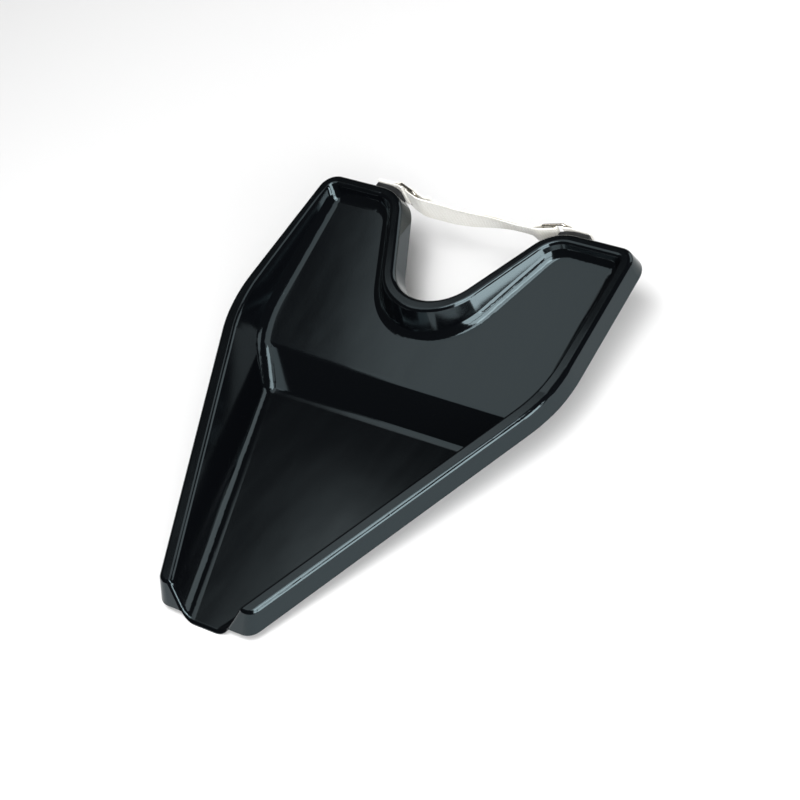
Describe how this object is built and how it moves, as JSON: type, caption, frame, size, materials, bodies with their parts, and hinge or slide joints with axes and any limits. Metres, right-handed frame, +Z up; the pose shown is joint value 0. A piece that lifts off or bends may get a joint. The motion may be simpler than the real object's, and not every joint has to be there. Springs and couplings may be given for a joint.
{
  "type": "hair rinse tray",
  "caption": "Black thermoformed hair rinse tray with a neck notch, a sloped platform, a stepped basin narrowing to an open spout, and an adjustable webbing strap.",
  "frame": {"origin": "middle of the tray's length and width, on the plane of the lower basin's flat underside", "axes": "+Z up, square to the lower basin's underside; +Y from the pouring spout toward the neck notch; +X to the tray's right when looking along +Y"},
  "size_m": [0.384, 0.48, 0.0799],
  "materials": {
    "tray_plastic": "high gloss black",
    "pad_plastic": "satin black",
    "webbing": "woven off-white webbing",
    "slide_wire": "bright nickel plate",
    "rivet_metal": "satin"
  },
  "bodies": {
    "tray": {"tray_shell": "tray_plastic", "anchor_pad_left": "pad_plastic", "anchor_pad_right": "pad_plastic", "strap_tab_left": "webbing", "strap_tab_right": "webbing", "strap_band": "webbing", "rivets": "rivet_metal"},
    "slide_left": {"strap_slide_left": "slide_wire"},
    "slide_right": {"strap_slide_right": "slide_wire"}
  },
  "joints": [
    {"name": "slide_right_swing", "type": "hinge", "parent": "tray", "child": "slide_right", "pos_m": [0.09615, 0.23472, 0.0646], "axis": [0, -0.0958, 0.9954], "range_deg": [-50, 6], "deforming": ["strap_band"]},
    {"name": "slide_left_swing", "type": "hinge", "parent": "tray", "child": "slide_left", "pos_m": [-0.09615, 0.23472, 0.0646], "axis": [0, -0.0958, 0.9954], "range_deg": [-6, 50], "deforming": ["strap_band"]}
  ]
}
